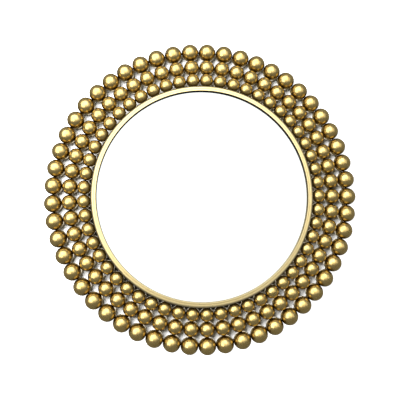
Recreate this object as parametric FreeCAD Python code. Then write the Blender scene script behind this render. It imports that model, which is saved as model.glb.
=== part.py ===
"""Round wall mirror in a frame of metal balls.

Three rows of balls, each welded to its neighbours, surround a narrow raised rim with a flat glass.
The inner row is welded to the rim hoop, the other two sit on back hoops, and edge-on stays tie the
hoops to the rim. Two rings that swing in riveted straps hang the mirror on wall hooks.

Millimetres. The mirror stands upright and looks along -Y. The wall is the plane Y = 0 and the
origin is the mirror's centre on it. +Z is up, and +X is to the right for someone who faces the glass.
"""
import FreeCAD
import Part
import math
import os

from FreeCAD import Vector

# ---- driving dimensions -------------------------------------------------------------------------
OVERALL_DIAMETER = 813.0       # over the outer row of balls
BALLS_PER_ROW = 53
BALL_SIDES = 8                 # facets to a turn round each ball
BALL_BAND_LATITUDE = 45.0      # degrees, corners of a ball's outer bands from its waist
MIDDLE_ROW_RISE = 4.0          # ball centres, forward of the outer row's centres
INNER_ROW_RISE = 11.0

HOOP_WIDTH = 8.0               # flat back hoops, measured along the radius
HOOP_THICKNESS = 3.0

RIM_THICKNESS = 5.5            # wall of the deep rim hoop; its front edge shows
RIM_RISE = 27.0                # rim's front edge, forward of the outer row's centres
RIM_DEPTH = 47.0
LIP_WIDTH = 6.0                # ring inside the rim hoop, in front of the glass
LIP_THICKNESS = 4.0

GLASS_THICKNESS = 4.0
BOARD_THICKNESS = 6.0
GLASS_CLEARANCE = 1.0          # radial, glass to rim hoop
BOARD_CLEARANCE = 1.5          # radial, board to rim hoop

CLIP_COUNT = 6
CLIP_FIRST_ANGLE = 30.0        # degrees from +X towards +Z
CLIP_WIDTH = 16.0
CLIP_LEG = 12.0                # along the rim hoop's wall
CLIP_FOOT = 14.0               # over the board
CLIP_THICKNESS = 1.5

STAY_COUNT = 8
STAY_THICKNESS = 3.0
STAY_HEEL = 5.0                # what a stay stands behind the outer hoop
STAY_BALL_GAP = 1.1            # stay's front corner to the backs of the inner balls
STAY_TOE = 15.0                # slope at the stay's inner end, along the radius

BUMPER_COUNT = 4               # on every second stay
BUMPER_LENGTH = 26.0
BUMPER_WALL = 3.0              # rubber on each side of the stay
BUMPER_GRIP = 4.0              # how far a bumper reaches over its stay
BUMPER_SOLE = 2.0              # rubber between the stay and the wall

HANGER_SPACING = 360.0         # between the two wall hooks
HANGER_PLATE_WIDTH = 40.0
HANGER_PLATE_THICKNESS = 3.0
HANGER_PLATE_TAIL = 12.0       # plate below the strap's end
STRAP_WIDTH = 16.0
STRAP_THICKNESS = 1.5
STRAP_DROP = 12.0              # hinge line down to the rivet
RIVET_RADIUS = 2.4
RIVET_HEAD_RADIUS = 4.5
RIVET_HEAD_HEIGHT = 1.4
RIVET_HOLE_CLEARANCE = 0.05
RIVET_RIM_GAP = 12.0           # rivet's head to the rim hoop's inner wall
RING_WIRE_RADIUS = 1.5
RING_EYE_CLEARANCE = 0.1       # radial, wire in its eye
RING_SIDE_GAP = 1.0            # strap's edge to the ring's leg
RING_SHOULDER = 22.0           # hinge line to where the legs start to close in
RING_LENGTH = 31.0             # hinge line to the far run, centre to centre
RING_TIP_WIDTH = 7.0           # length of the far run

# ---- sizes that follow --------------------------------------------------------------------------
SPOKE_ANGLE = 360.0 / BALLS_PER_ROW
TOUCH = math.sin(math.radians(SPOKE_ANGLE / 2))     # ball radius over row radius, neighbours touching
CENTRE = Vector(0, 0, 0)
TO_WALL = Vector(0, 1, 0)


def next_row(row_radius, rise):
    """Radius of the row inside this one, its centres forward by rise, whose balls touch both each
    other and this row's balls: (R - r)^2 + rise^2 = TOUCH^2 (R + r)^2, solved for r."""
    lead = 1 - TOUCH ** 2
    half = row_radius * (1 + TOUCH ** 2)
    rest = lead * row_radius ** 2 + rise ** 2
    return (half - math.sqrt(half ** 2 - lead * rest)) / lead


OUTER_ROW = OVERALL_DIAMETER / 2 / (1 + TOUCH)
MIDDLE_ROW = next_row(OUTER_ROW, MIDDLE_ROW_RISE)
INNER_ROW = next_row(MIDDLE_ROW, INNER_ROW_RISE - MIDDLE_ROW_RISE)
OUTER_BALL, MIDDLE_BALL, INNER_BALL = (TOUCH * row for row in (OUTER_ROW, MIDDLE_ROW, INNER_ROW))

# depths, which grow towards the wall
STAY_BACK = -BUMPER_SOLE
OUTER_HOOP_BACK = STAY_BACK - STAY_HEEL
OUTER_CENTRE = OUTER_HOOP_BACK - HOOP_THICKNESS - OUTER_BALL
MIDDLE_CENTRE = OUTER_CENTRE - MIDDLE_ROW_RISE
INNER_CENTRE = OUTER_CENTRE - INNER_ROW_RISE
MIDDLE_HOOP_BACK = MIDDLE_CENTRE + MIDDLE_BALL + HOOP_THICKNESS

RIM_OUTER = INNER_ROW - INNER_BALL
RIM_INNER = RIM_OUTER - RIM_THICKNESS
RIM_FRONT = OUTER_CENTRE - RIM_RISE
RIM_BACK = RIM_FRONT + RIM_DEPTH
GLASS_FRONT = RIM_FRONT + LIP_THICKNESS
BOARD_FRONT = GLASS_FRONT + GLASS_THICKNESS
BOARD_BACK = BOARD_FRONT + BOARD_THICKNESS

PLATE_BACK = RIM_BACK + HANGER_PLATE_THICKNESS
STRAP_BACK = PLATE_BACK + STRAP_THICKNESS
RIVET_REACH = RIM_INNER - RIVET_RIM_GAP - RIVET_HEAD_RADIUS
RIVET_HEIGHT = math.sqrt(RIVET_REACH ** 2 - (HANGER_SPACING / 2) ** 2)
STRAP_END = RIVET_HEIGHT - STRAP_WIDTH / 2
EYE_HEIGHT = RIVET_HEIGHT + STRAP_DROP
EYE_INNER_RADIUS = RING_WIRE_RADIUS + RING_EYE_CLEARANCE
EYE_OUTER_RADIUS = EYE_INNER_RADIUS + STRAP_THICKNESS
EYE_DEPTH = PLATE_BACK + EYE_OUTER_RADIUS


# ---- shapes in general --------------------------------------------------------------------------
def disc(radius, front, back):
    return Part.makeCylinder(radius, back - front, Vector(0, front, 0), TO_WALL)


def ring(inner, outer, front, back):
    return disc(outer, front, back).cut(disc(inner, front, back))


def turned(shape, degrees):
    """A copy of a shape drawn on the +X side, turned about the mirror's axis from +X towards +Z."""
    copy = shape.copy()
    copy.rotate(CENTRE, -TO_WALL, degrees)
    return copy


def moved(shape, x, y, z):
    copy = shape.copy()
    copy.translate(Vector(x, y, z))
    return copy


def flat(*corners):
    return Part.Face(Part.makePolygon(corners + corners[:1]))


def outlined(points):
    """The flat face inside (radius, depth) points on the +X side, at Z = 0."""
    return flat(*(Vector(x, y, 0) for x, y in points))


def side_plate(points, width):
    """A plate of an outlined shape, as thick as width and centred on Z = 0."""
    return moved(outlined(points).extrude(Vector(0, 0, width)), 0, 0, -width / 2)


# ---- balls --------------------------------------------------------------------------------------
def ball(radius):
    """A ball of flat facets, eight to a turn about the spoke that it is threaded on.

    Its inmost and outmost points and the middles of its front, back and side edges lie on the true
    ball. Its corners stand a little outside it, which keeps the volume within five percent.
    """
    reach = radius / math.cos(math.pi / BALL_SIDES)
    bands = [band_corners(reach, side * BALL_BAND_LATITUDE) for side in (1, 0, -1)]
    tips = Vector(radius, 0, 0), Vector(-radius, 0, 0)
    facets = []
    for i in range(BALL_SIDES):
        facets += [flat(tips[0], bands[0][i - 1], bands[0][i]), flat(tips[1], bands[2][i], bands[2][i - 1])]
        for upper, lower in zip(bands, bands[1:]):
            facets.append(flat(upper[i - 1], lower[i - 1], lower[i], upper[i]))
    return Part.Solid(Part.Shell(facets))


def band_corners(reach, latitude):
    """The corners at one latitude of a ball, as far from its centre as reach."""
    height, spread = reach * math.sin(math.radians(latitude)), reach * math.cos(math.radians(latitude))
    angles = [(i + 0.5) * 2 * math.pi / BALL_SIDES for i in range(BALL_SIDES)]
    return [Vector(height, spread * math.cos(angle), spread * math.sin(angle)) for angle in angles]


def ball_row(row_radius, ball_radius, depth):
    """A ball on every spoke; the first spoke is +X."""
    first = moved(ball(ball_radius), row_radius, depth, 0)
    return Part.makeCompound([turned(first, i * SPOKE_ANGLE) for i in range(BALLS_PER_ROW)])


# ---- frame --------------------------------------------------------------------------------------
def back_hoop(row_radius, back):
    """A flat hoop behind a row, drawn with one straight side behind each ball."""
    blank, opening = (prism(row_radius + side * HOOP_WIDTH / 2, back) for side in (1, -1))
    return blank.cut(opening)


def prism(radius, back):
    """A many-sided disc as thick as a hoop, whose sides cross the spokes at the radius."""
    reach = radius / math.cos(math.radians(SPOKE_ANGLE / 2))
    angles = [math.radians((i + 0.5) * SPOKE_ANGLE) for i in range(BALLS_PER_ROW)]
    face = flat(*(Vector(reach * math.cos(a), back, reach * math.sin(a)) for a in angles))
    return face.extrude(-TO_WALL * HOOP_THICKNESS)


def radial_stay():
    """An edge-on plate on the +X side. Its front edge seats both back hoops and slopes in to the
    rim hoop behind the inner balls, and its back edge lies along the wall."""
    half = HOOP_WIDTH / 2
    inner_front = INNER_CENTRE + INNER_BALL + STAY_BALL_GAP
    return side_plate([
        (RIM_OUTER, inner_front),
        (MIDDLE_ROW - half, MIDDLE_HOOP_BACK),
        (MIDDLE_ROW + half, MIDDLE_HOOP_BACK),
        (OUTER_ROW - half, OUTER_HOOP_BACK),
        (OUTER_ROW + half, OUTER_HOOP_BACK),
        (OUTER_ROW + half, STAY_BACK),
        (RIM_OUTER + STAY_TOE, STAY_BACK),
        (RIM_OUTER, RIM_BACK),
    ], STAY_THICKNESS)


def stay_angles():
    """Each stay lies behind the spoke of balls nearest to its even share of the circle."""
    share = BALLS_PER_ROW / STAY_COUNT
    return [round(i * share) * SPOKE_ANGLE for i in range(STAY_COUNT)]


def bumper():
    """A rubber channel on the +X side, pushed over the back edge of a stay between the hoops."""
    middle = (MIDDLE_ROW + OUTER_ROW) / 2
    width = STAY_THICKNESS + 2 * BUMPER_WALL
    height = BUMPER_SOLE + BUMPER_GRIP
    block = Part.makeBox(BUMPER_LENGTH, height, width)
    slot = Part.makeBox(BUMPER_LENGTH, BUMPER_GRIP, STAY_THICKNESS)
    channel = block.cut(moved(slot, 0, 0, BUMPER_WALL))
    return moved(channel, middle - BUMPER_LENGTH / 2, -height, -width / 2)


def board_clip():
    """A bent strip on the +X side: its leg is welded inside the rim hoop, its foot holds the board.
    The leg is flat, so only its two long edges meet the round wall."""
    wall = math.sqrt(RIM_INNER ** 2 - (CLIP_WIDTH / 2) ** 2)
    face = wall - CLIP_THICKNESS
    toe = wall - CLIP_FOOT
    heel = BOARD_BACK + CLIP_LEG
    top = BOARD_BACK + CLIP_THICKNESS
    return side_plate([(toe, BOARD_BACK), (wall, BOARD_BACK), (wall, heel), (face, heel), (face, top),
                       (toe, top)], CLIP_WIDTH)


# ---- hangers, drawn in the middle of the mirror and moved to each side ----------------------------
def rivet_hole(front, back):
    radius = RIVET_RADIUS + RIVET_HOLE_CLEARANCE
    return Part.makeCylinder(radius, back - front, Vector(0, front, RIVET_HEIGHT), TO_WALL)


def hanger_plate(x):
    """A flat plate welded to the rim hoop's back edge and trimmed to the hoop's outside."""
    foot = STRAP_END - HANGER_PLATE_TAIL
    blank = Part.makeBox(HANGER_PLATE_WIDTH, HANGER_PLATE_THICKNESS, RIM_OUTER - foot)
    blank = moved(blank, x - HANGER_PLATE_WIDTH / 2, RIM_BACK, foot)
    trimmed = blank.common(disc(RIM_OUTER, RIM_BACK, PLATE_BACK))
    return trimmed.cut(moved(rivet_hole(RIM_BACK, PLATE_BACK), x, 0, 0))


def hanger_strap():
    """A strip with a round end, flat on its plate, whose other end is rolled into an open eye."""
    half = STRAP_WIDTH / 2
    corners = [Vector(-half, PLATE_BACK, RIVET_HEIGHT), Vector(-half, PLATE_BACK, EYE_HEIGHT),
               Vector(half, PLATE_BACK, EYE_HEIGHT), Vector(half, PLATE_BACK, RIVET_HEIGHT)]
    round_end = Part.Arc(corners[3], Vector(0, PLATE_BACK, STRAP_END), corners[0]).toShape()
    edges = [Part.makeLine(corners[i], corners[i + 1]) for i in range(3)] + [round_end]
    tongue = Part.Face(Part.Wire(edges)).extrude(Vector(0, STRAP_THICKNESS, 0))
    eye = rolled_eye()
    return tongue.fuse(eye).cut(rivet_hole(PLATE_BACK, STRAP_BACK)).removeSplitter()


def rolled_eye():
    """Three quarters of a tube round the hinge line, open towards the tongue's far end."""
    start = Vector(-STRAP_WIDTH / 2, EYE_DEPTH, EYE_HEIGHT)
    along = Vector(1, 0, 0)
    roll = Part.makeCylinder(EYE_OUTER_RADIUS, STRAP_WIDTH, start, along)
    roll = roll.cut(Part.makeCylinder(EYE_INNER_RADIUS, STRAP_WIDTH, start, along))
    gap = Part.makeBox(STRAP_WIDTH, EYE_OUTER_RADIUS, EYE_OUTER_RADIUS)
    return roll.cut(moved(gap, -STRAP_WIDTH / 2, PLATE_BACK, EYE_HEIGHT - EYE_OUTER_RADIUS))


def hanger_rivet():
    """A shank with a flat head behind the strap and one in front of the plate."""
    front, back = RIM_BACK, STRAP_BACK
    profile = [(0, front - RIVET_HEAD_HEIGHT), (RIVET_HEAD_RADIUS, front - RIVET_HEAD_HEIGHT),
               (RIVET_HEAD_RADIUS, front), (RIVET_RADIUS, front), (RIVET_RADIUS, back),
               (RIVET_HEAD_RADIUS, back), (RIVET_HEAD_RADIUS, back + RIVET_HEAD_HEIGHT),
               (0, back + RIVET_HEAD_HEIGHT)]
    return moved(outlined(profile).revolve(CENTRE, TO_WALL, 360), 0, 0, RIVET_HEIGHT)


def hanger_ring():
    """Round wire in straight runs, mitred at the corners, that hangs from the hinge line."""
    half = STRAP_WIDTH / 2 + RING_SIDE_GAP + RING_WIRE_RADIUS
    outline = [(0, 0), (half, 0), (half, -RING_SHOULDER), (RING_TIP_WIDTH / 2, -RING_LENGTH),
               (-RING_TIP_WIDTH / 2, -RING_LENGTH), (-half, -RING_SHOULDER), (-half, 0), (0, 0)]
    path = Part.makePolygon([Vector(x, EYE_DEPTH, EYE_HEIGHT + z) for x, z in outline])
    section = Part.Wire(Part.makeCircle(RING_WIRE_RADIUS, path.Vertexes[0].Point, Vector(1, 0, 0)))
    sharp_corners = 1
    return path.makePipeShell([section], True, False, sharp_corners).removeSplitter()


# ---- the mirror ---------------------------------------------------------------------------------
def build_nodes():
    nodes = {
        "bead_row_outer": ball_row(OUTER_ROW, OUTER_BALL, OUTER_CENTRE),
        "bead_row_middle": ball_row(MIDDLE_ROW, MIDDLE_BALL, MIDDLE_CENTRE),
        "bead_row_inner": ball_row(INNER_ROW, INNER_BALL, INNER_CENTRE),
        "outer_hoop": back_hoop(OUTER_ROW, OUTER_HOOP_BACK),
        "middle_hoop": back_hoop(MIDDLE_ROW, MIDDLE_HOOP_BACK),
        "rim_hoop": ring(RIM_INNER, RIM_OUTER, RIM_FRONT, RIM_BACK),
        "glass_lip_ring": ring(RIM_INNER - LIP_WIDTH, RIM_INNER, RIM_FRONT, GLASS_FRONT),
        "mirror_glass": disc(RIM_INNER - GLASS_CLEARANCE, GLASS_FRONT, BOARD_FRONT),
        "back_board": disc(RIM_INNER - BOARD_CLEARANCE, BOARD_FRONT, BOARD_BACK),
    }
    clip, step = board_clip(), 360.0 / CLIP_COUNT
    clips = [turned(clip, CLIP_FIRST_ANGLE + i * step) for i in range(CLIP_COUNT)]
    nodes["board_clips"] = Part.makeCompound(clips)

    stay, angles = radial_stay(), stay_angles()
    for number, angle in enumerate(angles, start=1):
        nodes["radial_stay_%d" % number] = turned(stay, angle)
    cushioned = angles[::STAY_COUNT // BUMPER_COUNT]
    nodes["wall_bumpers"] = Part.makeCompound([turned(bumper(), angle) for angle in cushioned])

    strap, rivet, hanging_ring = hanger_strap(), hanger_rivet(), hanger_ring()
    sides = {"left": -HANGER_SPACING / 2, "right": HANGER_SPACING / 2}
    for side, x in sides.items():
        nodes["hanger_plate_" + side] = hanger_plate(x)
        nodes["hanger_ring_" + side] = moved(hanging_ring, x, 0, 0)
    nodes["hanger_straps"] = Part.makeCompound([moved(strap, x, 0, 0) for x in sides.values()])
    nodes["hanger_rivets"] = Part.makeCompound([moved(rivet, x, 0, 0) for x in sides.values()])
    return nodes


os.makedirs("parts", exist_ok=True)
for name, shape in build_nodes().items():
    shape.exportStep("parts/%s.step" % name)
    print(name, len(shape.Solids), "solids", "valid" if shape.isValid() else "NOT VALID",
          "%.1f mm3" % shape.Volume)
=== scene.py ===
"""Looks of a round wall mirror whose frame is three rows of gold balls.

The frame is read as it is packed: metres, +Z up, the glass faces -Y and the wall is the plane
Y = 0. New pieces are surfaces worked out as whole arrays, and each one goes where its node is.
"""
import math

import bpy
import numpy as np
from bpy.props import FloatProperty, FloatVectorProperty, PointerProperty
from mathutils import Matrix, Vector


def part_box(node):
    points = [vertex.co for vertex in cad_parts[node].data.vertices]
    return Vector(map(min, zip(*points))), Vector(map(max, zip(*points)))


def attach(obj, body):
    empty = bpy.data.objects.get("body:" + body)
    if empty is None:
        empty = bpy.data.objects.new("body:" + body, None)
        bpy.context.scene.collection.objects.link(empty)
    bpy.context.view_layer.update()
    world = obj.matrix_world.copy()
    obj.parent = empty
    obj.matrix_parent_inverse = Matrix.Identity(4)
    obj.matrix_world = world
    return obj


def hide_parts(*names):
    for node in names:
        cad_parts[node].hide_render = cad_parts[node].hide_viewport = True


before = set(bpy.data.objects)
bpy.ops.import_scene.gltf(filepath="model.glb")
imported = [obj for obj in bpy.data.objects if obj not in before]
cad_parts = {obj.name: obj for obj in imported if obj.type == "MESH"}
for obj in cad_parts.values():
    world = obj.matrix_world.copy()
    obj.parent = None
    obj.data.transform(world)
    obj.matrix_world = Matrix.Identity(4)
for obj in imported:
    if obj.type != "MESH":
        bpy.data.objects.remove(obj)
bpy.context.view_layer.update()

bl_info = {
    "name": "Beaded Wall Mirror",
    "version": (1, 0, 0),
    "blender": (4, 5, 0),
    "location": "View3D > Sidebar > Mirror",
    "description": "Gold ball rows, rim, glass, hanging hardware and studio of a round wall mirror",
    "category": "Object",
}

MM = 0.001
BALLS_PER_ROW = 53
ROWS = ("outer", "middle", "inner")
STAYS = [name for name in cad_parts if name.startswith("radial_stay_")]
SIDES = ("left", "right")
QUARTER = math.pi / 2

# corners of the surfaces
BALL_BANDS = 22                # from pole to pole of a ball
BALL_STEPS = 40                # once round it
RIM_STEPS = 720                # once round the mirror's axis
HOOP_STEPS = 320
GLASS_STEPS = 160

# painted shade between the balls, on the rim's roll and on the lip's wall, and the weld, as shares of what
# the colours and sizes below give
CONTACT_SHADE_FROM = 0.5               # closeness to a neighbour at which a ball's painted shade starts
CONTACT_SHADE_MOST = 0.75              # and how dark the painted shade gets where balls touch
EDGE_SHADE_FADE = 0.6          # share of the rim's roll over which its painted shade comes on
EDGE_SHADE_MOST = 0.85
LIP_WALL_LEAST_SHADE = 0.45     # painted shade on the lip's wall where it is lightest
LIP_WALL_CONTRAST = 0.7        # how soon the darkest stretch of painted shade ends to either side
KINK_REACH = math.radians(4)

# sizes of the materials' patterns in mm; the grains are coarser than real ones, so that they show
RIM_PATCH = 16.67
RIM_GRAIN = 1.43
SPRAY_GRAIN = 2.22
ZINC_CRYSTAL = 2.0
BOARD_FIBRE = 2.63
RUBBER_SKIN = 1.11


# ---- what the frame says -------------------------------------------------------------------------
def node_points(node):
    """All corners of a node's mesh, one row each."""
    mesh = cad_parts[node].data
    points = np.empty(len(mesh.vertices) * 3)
    mesh.vertices.foreach_get("co", points)
    return points.reshape(-1, 3)


def hoop_size(node):
    """Inner and outer radius about the mirror's axis, and front and back depth, of a round node."""
    points = node_points(node)
    radius = np.hypot(points[:, 0], points[:, 2])
    return radius.min(), radius.max(), points[:, 1].min(), points[:, 1].max()


def row_size(node):
    """Radius of a row of balls, radius of its balls, and depth of their centres."""
    low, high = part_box(node)
    ball = (high.y - low.y) / 2
    return high.x - ball, ball, (high.y + low.y) / 2


# ---- colours and material nodes ------------------------------------------------------------------
def linear(code):
    """An sRGB hex code as linear red, green, blue and alpha."""
    parts = np.array([int(code[i:i + 2], 16) for i in (1, 3, 5)]) / 255
    light = np.where(parts <= 0.04045, parts / 12.92, ((parts + 0.055) / 1.055) ** 2.4)
    return (*(float(part) for part in light), 1.0)


def add(tree, kind, links=(), **settings):
    """Adds a node. A setting is one of its sockets' values or, with no such socket, a property.

    Each link is (input socket, output socket of another node).
    """
    node = tree.nodes.new(kind)
    for key, value in settings.items():
        socket = key.replace("_", " ")
        if socket in node.inputs:
            node.inputs[socket].default_value = value
        else:
            setattr(node, key, value)
    for socket, source in links:
        tree.links.new(source, node.inputs[socket])
    return node


def blank(name, **settings):
    """A new material, its node tree and its surface shader, whose sockets take the settings."""
    material = bpy.data.materials.new(name)
    material.use_nodes = True
    tree = material.node_tree
    shader = tree.nodes["Principled BSDF"]
    for key, value in settings.items():
        shader.inputs[key.replace("_", " ")].default_value = value
    return material, tree, shader


def per_metre(millimetres):
    """A pattern's scale, from the size of one patch of it."""
    return 1 / (millimetres * MM)


# ---- PropertyGroups ------------------------------------------------------------------------------
def colour_property(name, description, code):
    """A colour that the user can change, from its sRGB hex code."""
    return FloatVectorProperty(name=name, description=description, subtype="COLOR", size=4,
                               min=0, max=1, default=linear(code))


def length_property(name, description, millimetres):
    """A length that the user can change."""
    return FloatProperty(name=name, description=description, subtype="DISTANCE", unit="LENGTH",
                         default=millimetres * MM, min=0)


class MirrorGoldProperties(bpy.types.PropertyGroup):
    """Gold paint of the balls."""
    gold: colour_property("Gold", "Gold paint, face on", "#E8CC86")
    shade: colour_property("Shade", "Browner gold where the paint is thin", "#C6A450")
    # colour of the painted shade where balls touch, brown; it stands in for the shade between them
    contact_shade_colour: colour_property("Patina", "Brown glaze left where balls touch", "#533F13")
    roughness: FloatProperty(name="Roughness", description="Satin of the paint", subtype="FACTOR",
                             default=0.25, min=0, max=1)
    mottle: length_property("Mottle", "Size of the paint's thicker and thinner patches", 9)
    grain: length_property("Grain", "Size of the finest unevenness", 1.2)


class MirrorRimProperties(bpy.types.PropertyGroup):
    """The rim hoop and the lip ring in front of the glass."""
    gold: colour_property("Gold", "Paler gold of the rubbed rim", "#F1E0AC")
    shade: colour_property("Shade", "Gold where the paint is thicker", "#E4CB8C")
    # dark colour of the painted shade on the lip's wall and on the hoop's roll
    inside: colour_property("Inside", "Bare wall of the lip ring, and glaze at the balls", "#17130E")
    edge: length_property("Edge", "Rounding of the hoop's and the lip's edges", 0.9)
    roll: length_property("Roll", "Rounding of the hoop's front edge towards the balls", 5.2)
    inset: length_property("Inset", "How far the hoop's front edge turns in over the glass", 3)
    lip_inset: length_property("Lip inset", "How far the lip ring reaches further in", 2)
    lip_rise: length_property("Lip rise", "How far the lip ring stands out past the hoop's edge", 0.8)
    lip_edge: length_property("Lip edge", "Rounding of the lip ring's edges at the glass", 0.25)
    # where the painted shade on the lip's inner wall is darkest: near the top, whose wall faces down
    lip_shade_angle: FloatProperty(name="Missed angle", subtype="ANGLE", unit="ROTATION",
                                description="Middle of the stretch that the spray left bare, from +X",
                                default=math.radians(80))
    unevenness: length_property("Unevenness", "How far the lip ring sinks and rises", 0.35)
    kink: length_property("Kink", "Step at the hoop's butt weld", 0.8)
    weld_angle: FloatProperty(name="Weld angle", description="Where the hoop's ends meet, from +X",
                              subtype="ANGLE", unit="ROTATION", default=math.radians(224))


class MirrorBackProperties(bpy.types.PropertyGroup):
    """What is behind the balls and the glass."""
    paint: colour_property("Paint", "Dull bronze paint on the hoops, stays and plates", "#6E6852")
    zinc: colour_property("Zinc", "Zinc plate on the clips, straps, rivets and rings", "#B9BAB6")
    board: colour_property("Board", "Raw fibreboard", "#A98A62")
    rubber: colour_property("Rubber", "Bumpers", "#1C1C1C")
    hoop_edge: length_property("Hoop edge", "Rounding of the flat hoops' edges", 0.5)


class MirrorGlassProperties(bpy.types.PropertyGroup):
    """Silvered glass."""
    silver: colour_property("Silver", "Reflection of the silvering", "#F2F5F3")
    silvering: length_property("Silvering", "How far behind the glass's front the silvering is seen", 3.6)
    edge: length_property("Edge", "Ground edge of the glass", 0.3)
    wave: length_property("Wave", "Spacing of the glass's faint waves", 140)


class MirrorStageProperties(bpy.types.PropertyGroup):
    """Wall, floor and light."""
    wall: colour_property("Wall", "Floor, and light of the studio", "#F4F4F2")
    behind: colour_property("Behind", "Wall behind the frame", "#B4B4B2")
    back: FloatProperty(name="Back", description="Radiance of the panel behind the mirror", default=3.0)
    key: FloatProperty(name="Key", description="Radiance of the wide panel in front", default=2.7)
    middle: FloatProperty(name="Middle", description="Radiance of the panel's middle", default=1.1)
    fill: FloatProperty(name="Fill", description="Radiance of the panel to its right", default=0.75)
    low: FloatProperty(name="Low", description="Radiance of the panel low in the middle", default=0.5)
    glass: FloatProperty(name="Glass", description="Radiance of the panel that the glass shows",
                         default=1.1)
    gap: FloatProperty(name="Gap", description="Radiance of the lamp that lights the wall in the gaps",
                       default=100.0)
    above: FloatProperty(name="Above", description="Radiance from above and the left", default=0.32)
    below: FloatProperty(name="Below", description="Radiance from below and the right", default=0.2)


# ---- surfaces ------------------------------------------------------------------------------------
def quads(rows, columns, close_rows=False, close_columns=False):
    """Corner numbers of a grid's squares; a closed side joins its last line to its first."""
    i = np.arange(rows if close_rows else rows - 1)[:, None]
    j = np.arange(columns if close_columns else columns - 1)[None, :]
    down, across = (i + 1) % rows, (j + 1) % columns
    corners = [i * columns + j, i * columns + across, down * columns + across, down * columns + j]
    return np.stack([corner + 0 * i * j for corner in corners], axis=-1).reshape(-1, 4)


def make_piece(name, points, faces, material, replaced=(), body="root"):
    """A smooth-shaded object from an array of points and lists of corner numbers."""
    mesh = bpy.data.meshes.new(name)
    mesh.from_pydata(points.reshape(-1, 3).tolist(), [], [list(face) for face in faces])
    mesh.validate()
    mesh.polygons.foreach_set("use_smooth", [True] * len(mesh.polygons))
    mesh.materials.append(material)
    piece = bpy.data.objects.new(name, mesh)
    bpy.context.scene.collection.objects.link(piece)
    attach(piece, body)
    if replaced:
        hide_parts(*replaced)
    return piece


def finish_node(node, material):
    """Gives a node that keeps its own shape its finished material."""
    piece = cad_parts[node]
    piece.data.materials.clear()
    piece.data.materials.append(material)


def point_values(piece, name, values):
    """A number for each corner of a piece, which its material reads by name."""
    attribute = piece.data.attributes.new(name, "FLOAT", "POINT")
    attribute.data.foreach_set("value", np.ascontiguousarray(values, np.float32).ravel())


def smooth_step(x):
    """0 below 0, 1 above 1, and 3xx - 2xxx between."""
    x = np.clip(x, 0, 1)
    return x * x * (3 - 2 * x)


def ball_row_points(pitch, ball, depth, outermost):
    """Every ball of a row, and how near each point is to where balls or the rim touch.

    With p the turn from one pole, q the turn about the poles' line, and T, D, N the directions
    along the row, to the front and outwards, a point is centre + ball * (cos p T + sin p cos q D
    + sin p sin q N). The poles lie on the row, where the neighbours touch.
    """
    bands, around = BALL_BANDS, BALL_STEPS
    spoke = np.arange(BALLS_PER_ROW) * 2 * np.pi / BALLS_PER_ROW
    zero = np.zeros_like(spoke)
    out = np.stack([np.cos(spoke), zero, np.sin(spoke)], -1)[:, None, None]
    along = np.stack([-np.sin(spoke), zero, np.cos(spoke)], -1)[:, None, None]
    front = np.array([0.0, -1.0, 0.0])
    p = (np.arange(1, bands) * np.pi / bands)[None, :, None, None]
    q = (np.arange(around) * 2 * np.pi / around)[None, None, :, None]
    turn = np.cos(p) * along + np.sin(p) * np.cos(q) * front + np.sin(p) * np.sin(q) * out
    turn = np.concatenate([turn.reshape(BALLS_PER_ROW, -1, 3), along[:, 0], -along[:, 0]], axis=1)
    centre = pitch * out[:, 0] + np.array([0, depth, 0])
    outwards = (turn * out[:, 0]).sum(-1)
    closeness = np.maximum(np.abs((turn * along[:, 0]).sum(-1)), -outwards if outermost else
                           np.abs(outwards))
    faces = quads(bands - 1, around, close_columns=True)
    ring = np.arange(around)
    first, last = (bands - 1) * around, (bands - 1) * around + 1
    start = np.stack([np.full(around, first), np.roll(ring, -1), ring], -1)
    far = (bands - 2) * around + ring
    end = np.stack([np.full(around, last), far, np.roll(far, -1)], -1)
    one = [*faces[:, ::-1].tolist(), *start[:, ::-1].tolist(), *end[:, ::-1].tolist()]
    step = last + 1
    faces = [[corner + k * step for corner in face] for k in range(BALLS_PER_ROW) for face in one]
    return centre + ball * turn, faces, closeness


def rounded_section(corners, bends, steps=5):
    """The closed outline (radius, depth) of a bar: a quarter circle in each square corner.

    With A and B the directions from corner C to the corners before and after it, and r its bend,
    a point is C + r * ((1 - sin t) A + (1 - cos t) B) for t from 0 to a quarter turn.
    """
    corners, bends = np.array(corners), np.broadcast_to(bends, len(corners))[:, None, None]
    before, after = np.roll(corners, 1, 0) - corners, np.roll(corners, -1, 0) - corners
    before, after = (way / np.linalg.norm(way, axis=1, keepdims=True) for way in (before, after))
    turn = np.linspace(0, QUARTER, steps)[None, :, None]
    arc = (1 - np.sin(turn)) * before[:, None] + (1 - np.cos(turn)) * after[:, None]
    return (corners[:, None] + bends * arc).reshape(-1, 2)


def bar(inner, outer, front, back):
    """Corners of a flat bar's section, from the outer back one."""
    return (outer, back), (inner, back), (inner, front), (outer, front)


def ring_points(section, count, grow=None, sink=None):
    """A section's outline carried once round the mirror's axis.

    At turn a, a point (radius, depth) is ((radius + grow(a)) cos a, depth + sink(a),
    (radius + grow(a)) sin a).
    """
    turn = (np.arange(count) * 2 * np.pi / count)[:, None]
    radius = section[None, :, 0] + (grow(turn) if grow else 0)
    depth = section[None, :, 1] + (sink(turn) if sink else 0) + 0 * turn
    return np.stack([radius * np.cos(turn), depth, radius * np.sin(turn)], -1)


def make_ring(name, node, section, material, slot, count=HOOP_STEPS, **bends):
    """The piece that takes a round node's place; grow and sink bend it."""
    points = ring_points(section, count, **bends)
    faces = quads(count, len(section), True, True)
    return make_piece(name, points, faces.tolist(), material, (node,))


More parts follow.
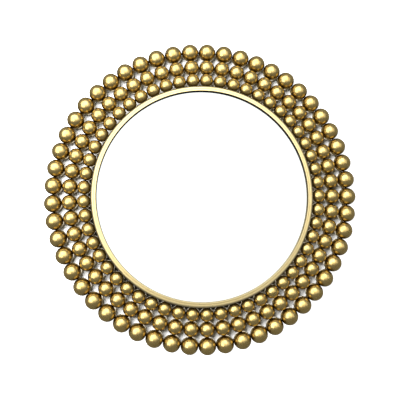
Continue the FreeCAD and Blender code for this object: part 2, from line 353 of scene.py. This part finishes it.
# ---- materials -----------------------------------------------------------------------------------
def gold_paint():
    """Antique gold paint sprayed on spun steel: satin, warm and a little patchy, with brown painted shade
    where the balls touch their neighbours and the rim."""
    props = bpy.context.scene.mirror_gold
    material, tree, shader = blank("antique_gold_paint", Metallic=1.0)
    place = add(tree, "ShaderNodeTexCoord").outputs["Object"]
    patches = add(tree, "ShaderNodeTexNoise", [("Vector", place)], Scale=1 / props.mottle,
                  Detail=3.0, Roughness=0.6).outputs["Fac"]
    thin = add(tree, "ShaderNodeMapRange", [("Value", patches)], From_Min=0.42, From_Max=0.72,
               To_Max=0.55).outputs["Result"]
    paint = add(tree, "ShaderNodeMix", [("Factor", thin)], data_type="RGBA")
    paint.inputs[6].default_value = props.gold
    paint.inputs[7].default_value = props.shade
    # painted shade: the touch amount mixes the paint towards dark brown where balls touch
    near = add(tree, "ShaderNodeAttribute", attribute_name="touch").outputs["Fac"]
    with_painted_shade = add(tree, "ShaderNodeMix", [("Factor", near)], data_type="RGBA")
    tree.links.new(paint.outputs[2], with_painted_shade.inputs[6])
    with_painted_shade.inputs[7].default_value = props.contact_shade_colour
    tree.links.new(with_painted_shade.outputs[2], shader.inputs["Base Color"])
    satin = add(tree, "ShaderNodeMapRange", [("Value", patches)], From_Min=0.3, From_Max=0.7,
                To_Min=props.roughness - 0.03, To_Max=props.roughness + 0.05).outputs["Result"]
    tree.links.new(satin, shader.inputs["Roughness"])
    grain = add(tree, "ShaderNodeTexNoise", [("Vector", place)], Scale=1 / props.grain, Detail=2.0)
    bump = add(tree, "ShaderNodeBump", [("Height", grain.outputs["Fac"])], Strength=0.12,
               Distance=0.1 * MM)
    tree.links.new(bump.outputs["Normal"], shader.inputs["Normal"])
    return material


def rim_gold():
    """The same paint on a rolled band, rubbed paler. Where painted shade lies, on the lip's inner wall and
    on the roll towards the balls, it is dark and has no metal shine."""
    props = bpy.context.scene.mirror_rim
    material, tree, shader = blank("rubbed_gold_band", Metallic=1.0)
    place = add(tree, "ShaderNodeTexCoord").outputs["Object"]
    patches = add(tree, "ShaderNodeTexNoise", [("Vector", place)], Scale=per_metre(RIM_PATCH), Detail=4.0,
                  Roughness=0.65).outputs["Fac"]
    paint = add(tree, "ShaderNodeMix", [("Factor", patches)], data_type="RGBA")
    paint.inputs[6].default_value = props.gold
    paint.inputs[7].default_value = props.shade
    # the amount of painted shade turns the paint dark, matt and not metal
    bare = add(tree, "ShaderNodeAttribute", attribute_name="bare").outputs["Fac"]
    both = add(tree, "ShaderNodeMix", [("Factor", bare)], data_type="RGBA")
    tree.links.new(paint.outputs[2], both.inputs[6])
    both.inputs[7].default_value = props.inside
    tree.links.new(both.outputs[2], shader.inputs["Base Color"])
    metal = add(tree, "ShaderNodeMapRange", [("Value", bare)], To_Min=1.0, To_Max=0.0).outputs["Result"]
    tree.links.new(metal, shader.inputs["Metallic"])
    satin = add(tree, "ShaderNodeMapRange", [("Value", patches)], From_Min=0.3, From_Max=0.7,
                To_Min=0.26, To_Max=0.38).outputs["Result"]
    dull = add(tree, "ShaderNodeMath", [(0, satin), (1, bare)], operation="MAXIMUM").outputs["Value"]
    tree.links.new(dull, shader.inputs["Roughness"])
    grain = add(tree, "ShaderNodeTexNoise", [("Vector", place)], Scale=per_metre(RIM_GRAIN), Detail=2.0)
    bump = add(tree, "ShaderNodeBump", [("Height", grain.outputs["Fac"])], Strength=0.15,
               Distance=0.15 * MM)
    tree.links.new(bump.outputs["Normal"], shader.inputs["Normal"])
    return material


def frame_paint():
    """Bronze paint sprayed on flat steel bar and plate, dark and duller than the balls."""
    props = bpy.context.scene.mirror_back
    material, tree, shader = blank("bronze_steel_paint", Metallic=0.4)
    place = add(tree, "ShaderNodeTexCoord").outputs["Object"]
    spray = add(tree, "ShaderNodeTexNoise", [("Vector", place)], Scale=per_metre(SPRAY_GRAIN), Detail=4.0)
    light, dark = np.array(props.paint) * 1.15, np.array(props.paint) * 0.75
    paint = add(tree, "ShaderNodeMix", [("Factor", spray.outputs["Fac"])], data_type="RGBA")
    paint.inputs[6].default_value = np.clip(light, 0, 1)
    paint.inputs[7].default_value = dark
    tree.links.new(paint.outputs[2], shader.inputs["Base Color"])
    satin = add(tree, "ShaderNodeMapRange", [("Value", spray.outputs["Fac"])], To_Min=0.38,
                To_Max=0.55).outputs["Result"]
    tree.links.new(satin, shader.inputs["Roughness"])
    bump = add(tree, "ShaderNodeBump", [("Height", spray.outputs["Fac"])], Strength=0.2,
               Distance=0.1 * MM)
    tree.links.new(bump.outputs["Normal"], shader.inputs["Normal"])
    return material


def zinc_plate():
    """Bright zinc on steel wire and strip: cool grey with faint crystals."""
    props = bpy.context.scene.mirror_back
    material, tree, shader = blank("zinc_plated_steel", Metallic=1.0)
    place = add(tree, "ShaderNodeTexCoord").outputs["Object"]
    crystals = add(tree, "ShaderNodeTexVoronoi", [("Vector", place)], Scale=per_metre(ZINC_CRYSTAL))
    paint = add(tree, "ShaderNodeMix", [("Factor", crystals.outputs["Distance"])], data_type="RGBA")
    paint.inputs[6].default_value = props.zinc
    paint.inputs[7].default_value = np.array(props.zinc) * 0.7
    tree.links.new(paint.outputs[2], shader.inputs["Base Color"])
    satin = add(tree, "ShaderNodeMapRange", [("Value", crystals.outputs["Distance"])], To_Min=0.22,
                To_Max=0.4).outputs["Result"]
    tree.links.new(satin, shader.inputs["Roughness"])
    return material


def fibreboard():
    """Raw medium-density fibreboard: pressed fibres of two browns under a hair of fuzz."""
    props = bpy.context.scene.mirror_back
    material, tree, shader = blank("raw_fibreboard")
    place = add(tree, "ShaderNodeTexCoord").outputs["Object"]
    fibres = add(tree, "ShaderNodeTexNoise", [("Vector", place)], Scale=per_metre(BOARD_FIBRE), Detail=6.0,
                 Roughness=0.7, Distortion=0.6)
    paint = add(tree, "ShaderNodeMix", [("Factor", fibres.outputs["Fac"])], data_type="RGBA")
    paint.inputs[6].default_value = props.board
    paint.inputs[7].default_value = np.array(props.board) * 0.55
    tree.links.new(paint.outputs[2], shader.inputs["Base Color"])
    shader.inputs["Roughness"].default_value = 0.85
    bump = add(tree, "ShaderNodeBump", [("Height", fibres.outputs["Fac"])], Strength=0.3,
               Distance=0.2 * MM)
    tree.links.new(bump.outputs["Normal"], shader.inputs["Normal"])
    return material


def rubber():
    """Moulded black rubber: matt, with a fine spark-eroded skin."""
    props = bpy.context.scene.mirror_back
    material, tree, shader = blank("moulded_rubber", Roughness=0.75, Base_Color=props.rubber)
    place = add(tree, "ShaderNodeTexCoord").outputs["Object"]
    skin = add(tree, "ShaderNodeTexNoise", [("Vector", place)], Scale=per_metre(RUBBER_SKIN), Detail=2.0)
    bump = add(tree, "ShaderNodeBump", [("Height", skin.outputs["Fac"])], Strength=0.3,
               Distance=0.1 * MM)
    tree.links.new(bump.outputs["Normal"], shader.inputs["Normal"])
    return material


def silvered_glass():
    """Float glass silvered on its back, which reflects nearly all light with faint long waves."""
    props = bpy.context.scene.mirror_glass
    material, tree, shader = blank("silvered_float_glass", Metallic=1.0, Roughness=0.01,
                                   Base_Color=props.silver)
    place = add(tree, "ShaderNodeTexCoord").outputs["Object"]
    waves = add(tree, "ShaderNodeTexNoise", [("Vector", place)], Scale=1 / props.wave, Detail=1.0)
    bump = add(tree, "ShaderNodeBump", [("Height", waves.outputs["Fac"])], Strength=0.05,
               Distance=0.2 * MM)
    tree.links.new(bump.outputs["Normal"], shader.inputs["Normal"])
    return material


# ---- Operators -----------------------------------------------------------------------------------
class MIRROR_OT_balls(bpy.types.Operator):
    """Make the three rows of balls"""
    bl_idname = "mirror.balls"
    bl_label = "Ball rows"

    def execute(self, context):
        paint = gold_paint()
        for row in ROWS:
            node = "bead_row_" + row
            points, faces, closeness = ball_row_points(*row_size(node), row == "outer")
            # painted shade where a ball touches its neighbours in the row and the rows beside it
            painted_shade = smooth_step((closeness - CONTACT_SHADE_FROM) / (1 - CONTACT_SHADE_FROM))
            piece = make_piece("balls_" + row, points, faces, paint, (node,))
            point_values(piece, "touch", CONTACT_SHADE_MOST * painted_shade)
        return {"FINISHED"}


class MIRROR_OT_rim(bpy.types.Operator):
    """Make the rim hoop and the lip ring"""
    bl_idname = "mirror.rim"
    bl_label = "Rim"

    def execute(self, context):
        props = context.scene.mirror_rim
        paint = rim_gold()

        def kink(turn):
            """Half the step outwards on one side of the weld and inwards on the other."""
            away = (turn - props.weld_angle + np.pi) % (2 * np.pi) - np.pi
            fade = np.exp(-np.abs(away) / KINK_REACH)
            return props.kink * 0.5 * np.sign(away) * fade

        def settle(turn):
            """Long and short waves, as in a ring bent by hand."""
            waves = np.sin(3 * turn + 0.4) + 0.7 * np.sin(7 * turn + 2.1) + 0.5 * np.sin(17 * turn)
            return props.unevenness * (0.5 + 0.25 * waves)

        count, edge, lip_edge = RIM_STEPS, props.edge, props.lip_edge
        turn = (np.arange(count) * 2 * np.pi / count)[:, None]
        inner, outer, front, back = hoop_size("rim_hoop")
        lip_inner, _, _, seat = hoop_size("glass_lip_ring")
        lip_inner, seam = lip_inner - props.lip_inset, inner - props.inset
        corners = (outer, back), (inner, back), (inner, seat), (seam, seat), (seam, front), (outer, front)
        section = rounded_section(corners, [edge, edge, edge / 10, edge / 10, edge, props.roll], steps=7)
        # painted shade on the hoop's roll towards the inner balls, where the recess between rim and balls
        # lies in shade
        with_painted_shade = smooth_step((section[:, 0] - outer + props.roll) / (EDGE_SHADE_FADE * props.roll))
        rim = make_ring("rim_band", "rim_hoop", section, paint, "rim_gold", count, grow=kink)
        point_values(rim, "bare", np.tile(EDGE_SHADE_MOST * with_painted_shade, count))
        seat += context.scene.mirror_glass.silvering
        section = rounded_section(bar(lip_inner, seam, front - props.lip_rise, seat),
                                  [edge, lip_edge, lip_edge, edge])
        lip = make_ring("lip_band", "glass_lip_ring", section, paint, "rim_gold", count, sink=settle)
        # painted shade on the lip's inner wall: darkest about the given angle near the top, where the wall
        # faces down away from the light, lighter towards the bottom
        lip_wall_shade = smooth_step(0.5 + LIP_WALL_CONTRAST * np.cos(turn - props.lip_shade_angle))
        lip_wall_shade = LIP_WALL_LEAST_SHADE + (1 - LIP_WALL_LEAST_SHADE) * lip_wall_shade
        point_values(lip, "bare", lip_wall_shade * (section[:, 0] < lip_inner + lip_edge / 2))
        return {"FINISHED"}


class MIRROR_OT_glass(bpy.types.Operator):
    """Make the glass: a disc whose mirror face is where the silvering is seen"""
    bl_idname = "mirror.glass"
    bl_label = "Glass"

    def execute(self, context):
        _, outer, front, back = hoop_size("mirror_glass")
        count = GLASS_STEPS
        props = context.scene.mirror_glass
        section = rounded_section(bar(0, outer, front + props.silvering, back),
                                  [props.edge, 0, 0, props.edge]).reshape(4, -1, 2)
        rim = np.concatenate([section[3], section[0]])
        ring = np.arange(count) * len(rim)
        sides = quads(count, len(rim), True, False).tolist()
        discs = [ring.tolist(), (ring[::-1] + len(rim) - 1).tolist()]
        piece = make_piece("silvered_glass", ring_points(rim, count), sides + discs, silvered_glass(),
                           ("mirror_glass",))
        for disc in piece.data.polygons[-2:]:
            disc.use_smooth = False
        return {"FINISHED"}


class MIRROR_OT_frame(bpy.types.Operator):
    """Make the back hoops and finish the stays"""
    bl_idname = "mirror.frame"
    bl_label = "Back frame"

    def execute(self, context):
        edge = context.scene.mirror_back.hoop_edge
        paint = frame_paint()
        for row in ("outer", "middle"):
            node = row + "_hoop"
            section = rounded_section(bar(*hoop_size(node)), edge, steps=3)
            make_ring(row + "_back_hoop", node, section, paint, "frame_steel")
        for node in [*STAYS, *("hanger_plate_" + side for side in SIDES)]:
            finish_node(node, paint)
        return {"FINISHED"}


class MIRROR_OT_board(bpy.types.Operator):
    """Finish the back board and the bumpers"""
    bl_idname = "mirror.board"
    bl_label = "Board and bumpers"

    def execute(self, context):
        finish_node("back_board", fibreboard())
        finish_node("wall_bumpers", rubber())
        return {"FINISHED"}


class MIRROR_OT_hangers(bpy.types.Operator):
    """Finish the clips, straps, rivets and rings"""
    bl_idname = "mirror.hangers"
    bl_label = "Hanging hardware"

    def execute(self, context):
        zinc = zinc_plate()
        for node in ("board_clips", "hanger_straps", "hanger_rivets", "hanger_ring_left",
                     "hanger_ring_right"):
            finish_node(node, zinc)
        return {"FINISHED"}


# ---- stage ---------------------------------------------------------------------------------------
CAMERA_PLACE = Vector((-0.0794, -1.184, -0.1094))
CAMERA_AIM = Vector((0.0622, 0.9944, 0.0844))
CAMERA_LENS = 39.96            # mm on a 36 mm sensor
FLOOR_HEIGHT = -0.95
STAGE_REACH = 5.0
FRONT_DEPTH = -1.83
FRONT_PANELS = (               # name, its level, and its left, right, low and high side
    ("key_left", "key", (-3.1, -0.65, -0.85, 2.8)),
    ("key_middle", "key", (-0.65, 0.75, 0.25, 2.8)),
    ("middle", "middle", (-0.65, 0.75, -0.25, 0.25)),
    ("low", "low", (-0.65, 0.75, -0.8, -0.25)),
    ("fill", "fill", (0.75, 2.3, -0.3, 1.6)),
)
GLASS_PANEL = (-0.8, 1.0, -0.8, 1.1)
# the wall glows outside WALL_LIT_FROM, a painted glow, and has a painted shadow of the rim inside
# RIM_SHADE_TO
WALL_LIT_FROM = 0.386          # distances from the mirror's axis
WALL_LIT_FADE = 0.008
WALL_LIGHT = 1.05
RIM_SHADE_TO = 0.302
RIM_SHADE_FADE = 0.003
RIM_SHADE = 0.05
BRIGHTEST_SKY = (-0.25, 0.0, 0.97)
GAP_LIGHT_PLACE = (-0.4, -1.2, 0.2)
GAP_LIGHT_SIDE = 0.55
BACK_LIGHT_PLACE = (0.15, 2.4, 0.25)
BACK_LIGHT_SIDE = 1.4


def add_camera():
    """The photograph's viewing angle."""
    camera = bpy.data.objects.new("camera", bpy.data.cameras.new("camera"))
    camera.data.lens = CAMERA_LENS
    camera.location = CAMERA_PLACE
    camera.rotation_euler = CAMERA_AIM.to_track_quat("-Z", "Y").to_euler()
    bpy.context.scene.collection.objects.link(camera)
    bpy.context.scene.camera = camera


def add_panel(name, place, aim, width, height, radiance):
    """An even area light whose power gives it the radiance."""
    lamp = bpy.data.lights.new(name, "AREA")
    lamp.shape = "RECTANGLE"
    lamp.size, lamp.size_y = width, height
    lamp.energy = radiance * math.pi * width * height
    light = bpy.data.objects.new(name, lamp)
    light.location = place
    light.rotation_euler = (Vector(aim) - Vector(place)).to_track_quat("-Z", "Y").to_euler()
    light.visible_camera = False
    bpy.context.scene.collection.objects.link(light)
    return light


def front_panel(name, left, right, low, high, radiance):
    """A panel facing the wall, between the given sides."""
    place = Vector(((left + right) / 2, FRONT_DEPTH, (low + high) / 2))
    return add_panel(name, place, place + Vector((0, 1, 0)), right - left, high - low, radiance)


def stage_sheet(name, corners, material):
    """A flat sheet that isn't part of the mirror."""
    mesh = bpy.data.meshes.new(name)
    mesh.from_pydata(corners, [], [range(len(corners))])
    mesh.materials.append(material)
    sheet = bpy.data.objects.new(name, mesh)
    bpy.context.scene.collection.objects.link(sheet)
    return sheet


def wall_paint():
    """Matt white wall paint that glows evenly outside the frame, a painted glow, and is darkened by a
    painted shadow beside the rim; clear from behind, so that the mirror's back can be looked at."""
    props = bpy.context.scene.mirror_stage
    material, tree, shader = blank("wall_paint", Roughness=0.9, Base_Color=props.behind)
    geometry = add(tree, "ShaderNodeNewGeometry")
    reach = add(tree, "ShaderNodeVectorMath", operation="LENGTH")
    tree.links.new(geometry.outputs["Position"], reach.inputs[0])
    # painted glow: emission on the wall outside the frame
    lit = add(tree, "ShaderNodeMapRange", [("Value", reach.outputs["Value"])], From_Min=WALL_LIT_FROM,
              From_Max=WALL_LIT_FROM + WALL_LIT_FADE, To_Max=WALL_LIGHT)
    shader.inputs["Emission Color"].default_value = (1, 1, 1, 1)
    tree.links.new(lit.outputs["Result"], shader.inputs["Emission Strength"])
    # painted shadow of the rim on the wall
    shaded = add(tree, "ShaderNodeMapRange", [("Value", reach.outputs["Value"])],
                 From_Min=RIM_SHADE_TO - RIM_SHADE_FADE, From_Max=RIM_SHADE_TO, To_Min=RIM_SHADE)
    tint = add(tree, "ShaderNodeMix", [("Factor", shaded.outputs["Result"])], data_type="RGBA")
    tint.inputs[6].default_value = (0, 0, 0, 1)
    tint.inputs[7].default_value = props.behind
    tree.links.new(tint.outputs[2], shader.inputs["Base Color"])
    clear = add(tree, "ShaderNodeBsdfTransparent").outputs["BSDF"]
    both = add(tree, "ShaderNodeMixShader")
    tree.links.new(geometry.outputs["Backfacing"], both.inputs[0])
    tree.links.new(shader.outputs["BSDF"], both.inputs[1])
    tree.links.new(clear, both.inputs[2])
    tree.links.new(both.outputs["Shader"], tree.nodes["Material Output"].inputs["Surface"])
    return material


def add_world(props):
    """Light from all round, brighter from above and the left than from below and the right."""
    world = bpy.data.worlds.new("studio")
    world.use_nodes = True
    tree = world.node_tree
    toward = add(tree, "ShaderNodeVectorMath", operation="DOT_PRODUCT")
    tree.links.new(add(tree, "ShaderNodeTexCoord").outputs["Generated"], toward.inputs[0])
    toward.inputs[1].default_value = BRIGHTEST_SKY
    strength = add(tree, "ShaderNodeMapRange", [("Value", toward.outputs["Value"])], From_Min=-1.0,
                   To_Min=props.below, To_Max=props.above)
    tree.links.new(strength.outputs["Result"], tree.nodes["Background"].inputs["Strength"])
    tree.nodes["Background"].inputs["Color"].default_value = props.wall
    bpy.context.scene.world = world


def light_only(light, *objects):
    """Keeps a light to some objects."""
    chosen = bpy.data.collections.new(light.name + "_on")
    for thing in objects:
        chosen.objects.link(thing)
    light.light_linking.receiver_collection = chosen


class MIRROR_OT_stage(bpy.types.Operator):
    """Make the wall, floor, lights and camera"""
    bl_idname = "mirror.stage"
    bl_label = "Stage"

    def execute(self, context):
        props = context.scene.mirror_stage
        things = [thing for thing in bpy.data.objects if thing.type == "MESH"]
        floor_paint = blank("floor_paint", Roughness=0.9, Base_Color=props.wall)[0]
        left, right = -STAGE_REACH, STAGE_REACH
        floor = stage_sheet("floor", [(left, left, FLOOR_HEIGHT), (right, left, FLOOR_HEIGHT),
                                      (right, right, FLOOR_HEIGHT), (left, right, FLOOR_HEIGHT)],
                            floor_paint)
        wall = stage_sheet("wall", [(left, 0, FLOOR_HEIGHT), (right, 0, FLOOR_HEIGHT),
                                    (right, 0, STAGE_REACH), (left, 0, STAGE_REACH)], wall_paint())
        wall.visible_shadow = False
        wall.visible_diffuse = False
        wall.visible_glossy = False
        floor.visible_glossy = False
        back = add_panel("back_light", BACK_LIGHT_PLACE, (0, 0, 0), BACK_LIGHT_SIDE, BACK_LIGHT_SIDE,
                         props.back)
        front = [front_panel(name, *corners, getattr(props, level))
                 for name, level, corners in FRONT_PANELS]
        glass = bpy.data.objects["silvered_glass"]
        for light in front:
            light_only(light, floor, *(thing for thing in things if thing != glass))
        light_only(back, *things)
        light_only(front_panel("glass_panel", *GLASS_PANEL, props.glass), glass)
        gap = add_panel("gap_light", GAP_LIGHT_PLACE, (0, 0, 0), GAP_LIGHT_SIDE, GAP_LIGHT_SIDE,
                        props.gap)
        light_only(gap, wall)
        add_world(props)
        context.scene.view_settings.view_transform = "Standard"
        add_camera()
        return {"FINISHED"}


# ---- Panel and registration ----------------------------------------------------------------------
OPERATORS = (MIRROR_OT_balls, MIRROR_OT_rim, MIRROR_OT_glass, MIRROR_OT_frame, MIRROR_OT_board,
             MIRROR_OT_hangers, MIRROR_OT_stage)
GROUPS = {"mirror_gold": MirrorGoldProperties, "mirror_rim": MirrorRimProperties,
          "mirror_back": MirrorBackProperties, "mirror_glass": MirrorGlassProperties,
          "mirror_stage": MirrorStageProperties}


class MIRROR_PT_panel(bpy.types.Panel):
    """Sizes, colours and makers of the mirror's pieces"""
    bl_idname = "MIRROR_PT_panel"
    bl_label = "Beaded Wall Mirror"
    bl_space_type = "VIEW_3D"
    bl_region_type = "UI"
    bl_category = "Mirror"

    def draw(self, context):
        for group, kind in GROUPS.items():
            box = self.layout.box()
            box.label(text=kind.__doc__)
            for name in kind.__annotations__:
                box.prop(getattr(context.scene, group), name)
        for operator in OPERATORS:
            self.layout.operator(operator.bl_idname)


def register():
    for kind in (*GROUPS.values(), *OPERATORS, MIRROR_PT_panel):
        bpy.utils.register_class(kind)
    for group, kind in GROUPS.items():
        setattr(bpy.types.Scene, group, PointerProperty(type=kind))


def unregister():
    for group in GROUPS:
        delattr(bpy.types.Scene, group)
    for kind in (MIRROR_PT_panel, *reversed(OPERATORS), *reversed(GROUPS.values())):
        bpy.utils.unregister_class(kind)


def main():
    register()
    bpy.ops.mirror.balls()
    bpy.ops.mirror.rim()
    bpy.ops.mirror.glass()
    bpy.ops.mirror.frame()
    bpy.ops.mirror.board()
    bpy.ops.mirror.hangers()
    bpy.ops.mirror.stage()


if __name__ == "__main__":
    main()
